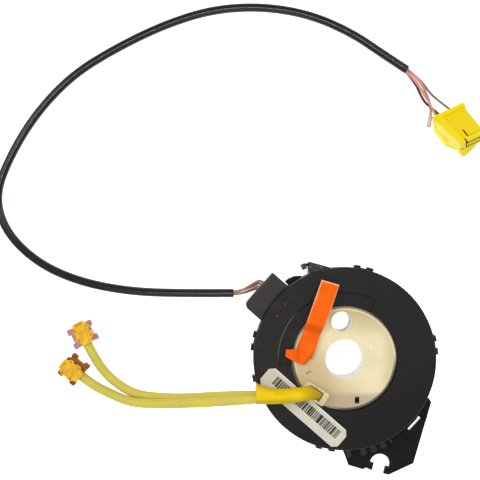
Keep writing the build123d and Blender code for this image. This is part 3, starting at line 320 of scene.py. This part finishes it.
def baseTone(tree, place, colour):
    # painted highlight: the ear is painted a lighter grey, with pale specks that stand for its speckled
    # highlights
    height = along(tree, place, (0, 0, 1))
    specks = addNode(tree, "ShaderNodeTexNoise", {"Vector": place, "Scale": 1 / (baseMarks["speckMm"] * mm),
                                                  "Detail": baseMarks["speckDetail"]}).outputs[0]
    earHighlighted = paint(tree, hexColour(baseMarks["earHighlighted"]), baseMarks["earHighlight"], (specks, *baseMarks["specks"]))
    onEar = (fromAxis(tree, place, baseMarks["ear"]), *baseMarks["earReach"])
    colour = paint(tree, colour, (earHighlighted, 1.0), onEar, (height, *baseMarks["earHeight"]))
    # painted highlight: the gussets' slopes beside the rim, and patches on the plate at their feet, are
    # painted lighter where they catch light
    feet = mask(tree, spots(tree, place, baseMarks["gussetFeet"], baseMarks["footMm"]),
                (height, *baseMarks["footHeight"]), strength=baseMarks["footStrength"])
    lit = mask(tree, (fromAxis(tree, place), *baseMarks["gussetReach"]), (height, *baseMarks["gussetHeight"]),
               (along(tree, place, (0, -1, 0)), *baseMarks["gussetSide"]), beside=feet)
    return paint(tree, colour, baseMarks["gusset"], lit)


# the same PBT in the base: blacker, as its open ribs keep light out
basePlastic = mouldedPlastic("blackPbtBase", {
    "colour": "#0b0b0b", "shade": "#141313", "mottleMm": 5, "grainMm": 0.4, "bump": 0.5,
    "roughness": 0.5, "specular": 0.14}, baseTone)
# the same PBT from a rougher tool: greyer, it scatters more light
blockPlastic = mouldedPlastic("greyBlackPbt", {
    "colour": "#2a2624", "shade": "#322e2c", "mottleMm": 9, "grainMm": 0.6, "bump": 0.35,
    "roughness": 0.6, "specular": 0.35})

slotMarks = {
    "at": (7.2, -24.6, 0), "black": ("#0b0908", 1.0),
    "unlit": [  # spans across, up and in height: the slot's walls, and what lies under it
        ((-1.45, 1.45, 0.05), (-2.15, 2.15, 0.05), (20.05, 19.9)),
        ((-2.5, 3.5, 0.5), (-4.5, 3.0, 0.5), (2.5, 18.5, 0.1)),
    ],
}


def slotShade(tree, place, colour):
    # no light gets into the disc's small slot
    across = along(tree, place, (1, 0, 0), slotMarks["at"])
    up = along(tree, place, (0, 1, 0), slotMarks["at"])
    height = along(tree, place, (0, 0, 1))
    unlit = None
    for wide, high, tall in slotMarks["unlit"]:
        unlit = mask(tree, (across, *wide), (up, *high), (height, *tall), beside=unlit)
    return paint(tree, colour, slotMarks["black"], unlit)


rotorMarks = {
    "tones": [  # painted shade darkens the top and right edges; darker tan towards the lower left, greyer beyond the chord
        ("#c7b387", 1.0, (0.2, 0.98, 0), 14, 32),
        ("#cfc095", 0.8, (1, 0, 0), 19, 30),
        ("#d2bc92", 1.0, (-0.8, -0.6, 0), 0, 19),
        ("#b3a78c", 0.75, (0, -1, 0), 18.8, 23.2),
    ],
    "grime": ("#8d7850", 0.6), "grimeSide": ((-0.9, -0.4, 0), 8, 24),
    "speckMm": 1.9231, "speckNoise": {"Detail": 6.0, "Roughness": 0.7}, "specks": (0.6, 0.7),
    # painted highlight on the rim's upper side; painted shadow on its lower right, under the cover's edge
    "rim": ("#f2e9c9", 0.6), "rimReach": (29.1, 29.6), "rimSide": ((0, 1, 0), -12, 0),
    "gapShadow": ("#3a322a", 0.85), "gapShadowReach": (28.8, 29.7), "gapShadowSide": ((0.6, -0.8, 0), 14, 24),
    # painted light: the bores' walls are painted near white
    "boreLight": ("#fffdf6", 1.0),
    "bores": [((0, 0), 11.59, 11.53), ((-2.1, 22.4), 6.06, 6.02)],  # centre, and the reach of its wall
    "smudges": [(-22.6, -8.4), (-21.2, -7.6)], "smudgeMm": 0.8, "smudge": ("#8d7850", 0.7),
    "dots": [(15.6, 7.7)], "dotMm": 0.7, "dotTone": ("#fbf6df", 1.0),
}


def rotorTone(tree, place, colour):
    def toward(side):
        direction, start, end = rotorMarks[side]
        return along(tree, place, direction), start, end

    colour = layTones(tree, place, colour, rotorMarks["tones"])
    # specks of grime on the left
    specks = addNode(tree, "ShaderNodeTexNoise", {"Vector": place, "Scale": 1 / (rotorMarks["speckMm"] * mm),
                                                  **rotorMarks["speckNoise"]}).outputs[0]
    colour = paint(tree, colour, rotorMarks["grime"], (specks, *rotorMarks["specks"]), toward("grimeSide"))
    # painted highlight: the rim is painted pale on its upper side; painted shadow: it is painted dark at the
    # lower right, where the cover's edge shades it
    reach = fromAxis(tree, place)
    for edge in ("rim", "gapShadow"):
        onEdge = (reach, *rotorMarks[f"{edge}Reach"])
        colour = paint(tree, colour, rotorMarks[edge], onEdge, toward(f"{edge}Side"))
    colour = slotShade(tree, place, colour)
    # painted light: the walls of the two bores are painted near white, so they show little shade
    for centre, outer, inner in rotorMarks["bores"]:
        colour = paint(tree, colour, rotorMarks["boreLight"], (fromAxis(tree, place, centre), outer, inner))
    smudged = spots(tree, place, rotorMarks["smudges"], rotorMarks["smudgeMm"])
    colour = paint(tree, colour, rotorMarks["smudge"], smudged)
    dotted = spots(tree, place, rotorMarks["dots"], rotorMarks["dotMm"])
    return paint(tree, colour, rotorMarks["dotTone"], dotted)


# natural acetal: waxy cream, light goes a little way in
rotorPlastic = mouldedPlastic("naturalAcetal", {
    "colour": "#efe3bd", "shade": "#e6d8ab", "mottleMm": 16, "grainMm": 0.9, "bump": 0.1, "roughness": 0.5,
    "specular": 0.12, "subsurface": 0.2, "depthMm": 1.5, "spread": (1.0, 0.7, 0.35)}, rotorTone)
# acetal that hands have soiled: mottled brownish, a little glossier
bossPlastic = mouldedPlastic("agedAcetal", {
    "colour": "#e3d6b0", "shade": "#cdbd90", "mottleMm": 4, "grainMm": 0.6, "bump": 0.3, "roughness": 0.45,
    "specular": 0.25, "subsurface": 0.15, "depthMm": 1.0, "spread": (1.0, 0.7, 0.35)})
# white acetal of the retaining ring: cool white and slippery, a soft sheen
ringPlastic = mouldedPlastic("whiteAcetal", {
    "colour": "#e9e6da", "shade": "#dedaca", "mottleMm": 10, "grainMm": 0.8, "bump": 0.12,
    "roughness": 0.45, "specular": 0.4}, slotShade)

tabMarks = {
    "lean": 76.0, "fold": ("#cc4e06", 0.6), "crank": (10.6, 15.2, 1.5),
    "shadow": ("#d25404", 1.0), "heelStrength": 0.8, "footFold": (-29.4, -27.2, 0.8), "footStrength": 0.6,
    "edge": ("#ffc09a", 0.85), "edgeSoft": 0.25, "freeEnd": (4, 40), "rightStrength": 0.6,
    "left": ((-14.2, 47.7), (-0.942, 0.336), 0.55),  # a point on the edge, the way out, width
    "top": ((-14.2, 47.7), (0.286, 0.958), 0.7),
    "right": ((-3.8, 44.6), (0.947, -0.322), 0.3),
    "heel": ((-18.9, 3.0), (0.770, -0.638), 1.6),
}


def tabTone(tree, place, colour):
    def inside(edge):
        # a strip inside a straight edge
        (point, out, width), soft = tabMarks[edge], tabMarks["edgeSoft"]
        return along(tree, place, (*out, 0), (*point, 0)), -width - soft, -width + soft

    # the crank's slope, the heel and the foot turn away from the lamps
    lengthwise = along(tree, place, turned(tabMarks["lean"]))
    colour = paint(tree, colour, tabMarks["fold"], (lengthwise, *tabMarks["crank"]))
    heel = mask(tree, inside("heel"), strength=tabMarks["heelStrength"])
    dark = mask(tree, (along(tree, place, (1, 0, 0)), *tabMarks["footFold"]),
                strength=tabMarks["footStrength"], beside=heel)
    colour = paint(tree, colour, tabMarks["shadow"], dark)
    # the moulding's rounded edges shine, most of all round its free end
    freeEnd = (lengthwise, *tabMarks["freeEnd"])
    right = mask(tree, inside("right"), freeEnd, strength=tabMarks["rightStrength"])
    sides = mask(tree, inside("left"), freeEnd, beside=right)
    shine = mask(tree, inside("top"), beside=sides)
    return paint(tree, colour, tabMarks["edge"], shine)


# polypropylene, moulded: hot orange, half gloss
tabPlastic = mouldedPlastic("orangePolypropylene", {
    "colour": "#fd6a00", "shade": "#f26000", "mottleMm": 8, "grainMm": 0.7, "bump": 0.15,
    "roughness": 0.42, "specular": 0.08}, tabTone)

plugMarks = {  # mm from the connector's rear corner, along its own three directions
    "origin": (56.3, 137.8, 1.77),
    "axes": [(0.4045, -0.7006, 0.5878), (0.895, 0.434, -0.0986), (-0.186, 0.566, 0.803)],
    "recess": ("#f4d608", 1.0), "recessAhead": (2.8, 23.9, 0.2), "recessAcross": (5.3, 5.9),
    "recessTop": (13.0, 12.7), "recessFloor": (11.8, 12.2),
    "pale": ("#fff45c", 1.0), "flankAcross": (4.4, 2.2), "flankUp": (13.6, 12.6), "flankStrength": 0.8,
    "frontAhead": (26.5, 28.5), "frontStrength": 0.3,
    "deep": "#5f4a06", "lockAhead": (17.4, 17.6), "lockWay": ((7.05, 17.55, 0.05), (7.5, 11.8, 0.05)),
    "lockFace": ((7.9, 16.7, 0.05), (8.4, 10.8, 0.05)), "slotDepth": (12.57, 12.5),
    "slots": [((17.3, 23.9, 0.1), (10.2, 11.2, 0.1)), ((22.85, 24.3, 0.1), (10.2, 18.6, 0.1))],
}


def plugAxes(tree, place):
    # how far ahead, across and up a point lies in the connector
    return [along(tree, place, axis, plugMarks["origin"]) for axis in plugMarks["axes"]]


def plugTone(tree, place, colour):
    # the sunk panel looks deeper in colour; painted light: the thin left flank is painted pale where light
    # comes through it, and the front face is painted a little paler
    ahead, across, up = plugAxes(tree, place)
    colour = paint(tree, colour, plugMarks["recess"], (ahead, *plugMarks["recessAhead"]),
                   (across, *plugMarks["recessAcross"]), (up, *plugMarks["recessTop"]),
                   (up, *plugMarks["recessFloor"]))
    flank = mask(tree, (across, *plugMarks["flankAcross"]), (up, *plugMarks["flankUp"]),
                 strength=plugMarks["flankStrength"])
    pale = mask(tree, (ahead, *plugMarks["frontAhead"]), strength=plugMarks["frontStrength"], beside=flank)
    return paint(tree, colour, plugMarks["pale"], pale)


def plugShade(tree, place, colour):
    # little light gets into the slots of the tongue and round the front lock
    ahead, across, up = plugAxes(tree, place)
    wide, high = plugMarks["lockWay"]
    deep = mask(tree, (ahead, *plugMarks["lockAhead"]), (across, *wide), (up, *high))
    for length, width in plugMarks["slots"]:
        deep = mask(tree, (ahead, *length), (across, *width), (up, *plugMarks["slotDepth"]), beside=deep)
    return paint(tree, plugTone(tree, place, colour), (plugMarks["deep"], 1.0), deep)


def lockShade(tree, place, colour):
    # the front lock's outline lies in shadow
    ahead, across, up = plugAxes(tree, place)
    wide, high = plugMarks["lockFace"]
    face = plugTone(tree, place, colour)
    return paint(tree, hexColour(plugMarks["deep"]), (face, 1.0), (across, *wide), (up, *high))


# PBT without glass fibre: bright yellow, slightly waxy
connectorLook = {
    "colour": "#fbe30c", "shade": "#f5d806", "mottleMm": 7, "grainMm": 0.5, "bump": 0.15, "roughness": 0.38,
    "specular": 0.25, "subsurface": 0.15, "depthMm": 1.2, "spread": (1.0, 0.8, 0.1)}
connectorPlastic = mouldedPlastic("yellowPbt", connectorLook, plugShade)
lockPlastic = mouldedPlastic("yellowPbtLock", connectorLook, lockShade)

# PBT of the airbag plugs: small mouldings with a coarse grain for their size, and an uneven satin
plugLook = {"mottleMm": 3, "grainMm": 0.4, "bump": 0.3, "roughness": 0.45}
amberPlastic = mouldedPlastic("amberPbt", {
    **plugLook, "colour": "#f0c22c", "shade": "#dea31e", "roughness": 0.42, "specular": 0.25})
pinkPlastic = mouldedPlastic("pinkPbt", {
    **plugLook, "colour": "#c98f9c", "shade": "#b37c88", "specular": 0.3})
brownPlastic = mouldedPlastic("brownPbt", {
    **plugLook, "colour": "#a25c1c", "shade": "#7c400c", "specular": 0.2})
# nylon of the terminal carriers: black, with a plain satin skin
carrierPlastic = mouldedPlastic("blackNylon", {
    "colour": "#161616", "shade": "#1e1e1e", "mottleMm": 6, "grainMm": 0.5, "bump": 0.2,
    "roughness": 0.5, "specular": 0.4})
# thin nylon cap: milky, light goes through its wall
capPlastic = mouldedPlastic("milkyNylon", {
    "colour": "#dcd3cd", "shade": "#cfc4be", "mottleMm": 3, "grainMm": 0.5, "bump": 0.1, "roughness": 0.35,
    "specular": 0.4, "subsurface": 0.3, "depthMm": 1.0, "spread": (1.0, 0.8, 0.7)})

bootTones = [  # painted shade along its lower side; darker olive towards its root
    ("#c0a200", 0.7, (0, -1, 0), 21.3, 24.3),
    ("#b89c04", 0.85, (1, 0, 0), -29.0, -19.0),
]


def bootTone(tree, place, colour):
    return layTones(tree, place, colour, bootTones)


# soft PVC boot over the leads: saturated yellow with a dull skin
bootPvc = mouldedPlastic("yellowPvc", {
    "colour": "#f2cc00", "shade": "#e0bd00", "mottleMm": 9, "grainMm": 0.8, "bump": 0.18,
    "roughness": 0.42, "specular": 0.16}, bootTone)
# PVC sleeving of the leads: straw yellow, greenish where it is thin
leadPvc = mouldedPlastic("strawPvc", {
    "colour": "#dccb48", "shade": "#cdc05a", "mottleMm": 16, "grainMm": 0.8, "bump": 0.12,
    "roughness": 0.45, "specular": 0.18})
# black PVC tube: shiny skin that draws the lamps out into streaks
sheathPvc = mouldedPlastic("blackPvc", {
    "colour": "#0c0b0c", "shade": "#131112", "mottleMm": 12, "grainMm": 2.5, "bump": 0.04,
    "roughness": 0.2, "specular": 0.4, "dullEdge": (0.35, 0.75)})
# thin PVC insulation: even colour, a smooth skin with a soft line of light; handling has soiled two of them
wireLook = {"mottleMm": 5, "grainMm": 0.5, "bump": 0.1, "roughness": 0.42, "specular": 0.3}
pinkInsulation, greyInsulation, tanInsulation, duskInsulation, brownInsulation = [
    mouldedPlastic(name, {**wireLook, "colour": colour, "shade": shade}) for name, colour, shade in (
        ("pinkInsulation", "#dc9c8d", "#cd8b7e"), ("greyInsulation", "#8b8778", "#7d796b"),
        ("tanInsulation", "#b58d7b", "#9c7a6a"), ("duskInsulation", "#a59a8c", "#8f8578"),
        ("darkInsulation", "#54392f", "#472f27"))]
# polyester film of the flat cable: dark, with a dull gloss
ribbonFilm = mouldedPlastic("darkPolyester", {
    "colour": "#0c0b0b", "shade": "#151312", "mottleMm": 8, "grainMm": 0.6, "bump": 0.08,
    "roughness": 0.4, "specular": 0.15})

labelMarks = {
    # painted highlight: a paler strip along the label's edge
    "turn": -41.2, "labelHighlight": ("#f6f4ee", 0.8), "labelHighlightEdge": (-32.5, -32.2),
    "ink": ("#1e1915", 1.0), "barsFrom": (-23.4, 26.9, 0.1), "barHeight": (-40.0, -34.3, 0.1), "barMm": 0.6,
    "inked": (0.42, 0.47),
}


def labelBars(tree, place, colour):
    # plain bars of uneven width, which stand for no number, and a painted highlight: a paler strip along one
    # edge
    lengthwise = along(tree, place, turned(labelMarks["turn"]))
    sideways = along(tree, place, turned(labelMarks["turn"] + 90))
    bars = addNode(tree, "ShaderNodeMath", {0: lengthwise, 1: 1 / labelMarks["barMm"]}, operation="MULTIPLY")
    uneven = addNode(tree, "ShaderNodeTexNoise", {"W": bars.outputs[0], "Scale": 1.0, "Detail": 0.0},
                     noise_dimensions="1D").outputs[0]
    colour = paint(tree, colour, labelMarks["labelHighlight"], (sideways, *labelMarks["labelHighlightEdge"]))
    return paint(tree, colour, labelMarks["ink"], (lengthwise, *labelMarks["barsFrom"]),
                 (sideways, *labelMarks["barHeight"]), (uneven, *labelMarks["inked"]))


# matt label stock: warm white with fibres, bars printed on it
labelPaper = mouldedPlastic("labelPaper", {
    "colour": "#d8d4c1", "shade": "#cdc9ba", "mottleMm": 6, "grainMm": 0.3, "bump": 0.1,
    "roughness": 0.55, "specular": 0.3}, labelBars)


def drawnMetal(name, look):
    # strip metal whose plating varies in tone
    material, tree = newMaterial(name)
    place = addNode(tree, "ShaderNodeTexCoord").outputs["Object"]
    slow = addNode(tree, "ShaderNodeTexNoise", {"Vector": place, "Scale": 1 / (look["mottleMm"] * mm),
                                                "Detail": look["detail"]})
    colour = paint(tree, hexColour(look["colour"]), (look["shade"], 1.0), slow.outputs[0])
    finishTree(tree, {"Base Color": colour, "Metallic": 1.0, "Roughness": look["roughness"]})
    return material


# tinned brass: pale gold metal with a drawn surface
brassMetal = drawnMetal("tinnedBrass", {
    "colour": "#c9b277", "shade": "#ddd0a8", "mottleMm": 1.1111, "detail": 3.0, "roughness": 0.3})
print("materials")


# ---- cords
cordMesh = {"resolution": 14, "rings": 7, "order": 3}


def layCord(name, values, material, body, node):
    # a smooth round tube whose control points are the route's; it hangs on its body and hides the solid that
    # it stands for
    places = inMetres(values["points"])
    diameter = values["diameter"] * mm
    curve = bpy.data.curves.new(name, "CURVE")
    curve.dimensions = "3D"
    curve.resolution_u = cordMesh["resolution"]
    curve.bevel_depth = diameter / 2
    curve.bevel_resolution = cordMesh["rings"]
    curve.use_fill_caps = True
    spline = curve.splines.new("NURBS")
    spline.points.add(len(places) - 1)
    for point, place in zip(spline.points, places):
        point.co = (*place, 1.0)
    spline.order_u = cordMesh["order"]
    spline.use_endpoint_u = True
    curve.materials.append(material)
    cord = bpy.data.objects.new(name, curve)
    bpy.context.collection.objects.link(cord)
    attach(cord, body)
    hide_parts(node)


wheelLeads = {  # here and below, points and diameters in mm, lengths in metres
    "both": {"diameter": 5.8, "stiffness": "medium"},
    "pink": {
        "length": 0.1275,
        "points": [(-49.5, -21.2, 25.2), (-69.3, -21.7, 20.6), (-97.4, -25.7, 4.6), (-115.0, -25.2, 2.9),
                   (-126.2, -23.6, 2.9), (-135.8, -18.8, 3.2), (-145.7, -10.5, 4.0), (-152.4, 0.6, 7.8),
                   (-156.5, 8.8, 7.8)]},
    "brown": {
        "length": 0.1205,
        "points": [(-49.5, -22.0, 31.1), (-65.0, -23.4, 30.9), (-90.0, -26.8, 17.2), (-116.2, -28.6, 8.9),
                   (-130.7, -27.8, 5.7), (-144.8, -21.8, 4.9), (-154.5, -15.9, 7.8), (-160.2, -11.1, 7.8)]},
}
for colour in ("pink", "brown"):
    values = {**wheelLeads["both"], **wheelLeads[colour]}
    layCord(f"{colour}Lead", values, leadPvc, "rotor", f"wheel_lead_{colour}")

harness = [f"harness_{piece}" for piece in ("connector", "front_lock", "terminals")]
columnLead = {
    "diameter": 5.2, "length": 0.486, "stiffness": "medium", "height": 2.6,
    "route": [(-67.0, 38.8), (-96.8, 38.6), (-130.7, 39.7), (-162.6, 45.9), (-188.5, 57.9),
              (-207.5, 76.9), (-213.7, 99.1), (-203.8, 124.3), (-187.8, 150.1), (-165.7, 173.2),
              (-138.0, 190.1), (-108.5, 204.2), (-79.6, 213.2), (-49.5, 215.0), (-20.0, 210.1),
              (5.9, 198.7), (25.6, 185.2), (39.7, 176.0)],
}
columnLead["points"] = [(x, y, columnLead["height"]) for x, y in columnLead["route"]]
layCord("columnSheath", columnLead, sheathPvc, "housing", "lead_sheath")

thinWires = {
    "all": {"diameter": 1.6, "stiffness": "limp"},
    "brown": {
        "length": 0.0425,
        "points": [(38.25, 175.97, 1.78), (44.9, 168.3, 0.9), (48.0, 161.3, 0.9), (50.9, 155.9, 1.3),
                   (54.8, 152.6, 2.9), (59.83, 147.69, 4.33), (62.45, 143.14, 8.16)]},
    "pink": {
        "length": 0.0415,
        "points": [(38.25, 175.97, 3.42), (45.2, 169.0, 2.9), (49.6, 161.5, 3.3), (53.2, 155.4, 4.9),
                   (57.5, 146.56, 4.59), (60.13, 142.01, 8.41)]},
    "spare": {
        "length": 0.036,
        "points": [(39.14, 177.34, 3.42), (47.3, 169.9, 2.9), (52.0, 161.2, 1.5), (55.1, 152.2, 0.9),
                   (54.0, 146.4, 1.4)]},
    "grey": {
        "length": 0.0448,
        "points": [(39.14, 177.34, 1.78), (48.2, 170.2, 0.9), (54.0, 162.0, 0.9), (59.0, 157.4, 1.3),
                   (66.81, 151.08, 3.57), (69.44, 146.53, 7.39)]},
}
for colour, insulation, slot, farEnd, onIt in (
        ("brown", brownInsulation, "wire_brown", "connector", harness),
        ("pink", pinkInsulation, "wire_pink", "connector", harness),
        ("spare", pinkInsulation, "wire_pink", "fitting", ["splice_cap"]),
        ("grey", greyInsulation, "wire_grey", "connector", harness)):
    values = {**thinWires["all"], **thinWires[colour]}
    layCord(f"{colour}Wire", values, insulation, "housing", f"wire_{colour}")
print("cords")

# ---- finishes of the solids that stay
finishes = {
    "base_housing": basePlastic, "top_cover": casePlastic, "lead_block": blockPlastic, "label": labelPaper,
    "stator_carrier": carrierPlastic, "stator_terminals": brassMetal, "slide_film": ringPlastic,
    "ribbon_cable": ribbonFilm, "rotor_hub": rotorPlastic, "exit_boss": bossPlastic,
    "rotor_retainer": ringPlastic, "rotor_carrier": carrierPlastic, "rotor_terminals": brassMetal,
    "lock_tab": tabPlastic, "root_sleeve": bootPvc,
    "squib_body_pink": pinkPlastic, "squib_body_brown": brownPlastic, "squib_boot_pink": amberPlastic,
    "squib_boot_brown": amberPlastic, "squib_cover_pink": amberPlastic, "squib_cover_brown": amberPlastic,
    "squib_contacts_pink": brassMetal, "squib_contacts_brown": brassMetal, "block_wires_pink": tanInsulation,
    "block_wires_grey": duskInsulation, "splice_cap": capPlastic, "harness_connector": connectorPlastic,
    "harness_front_lock": lockPlastic, "harness_terminals": brassMetal,
}
for name, material in finishes.items():
    for materialSlot in nodes[name].material_slots:
        materialSlot.material = material
print("finishes")
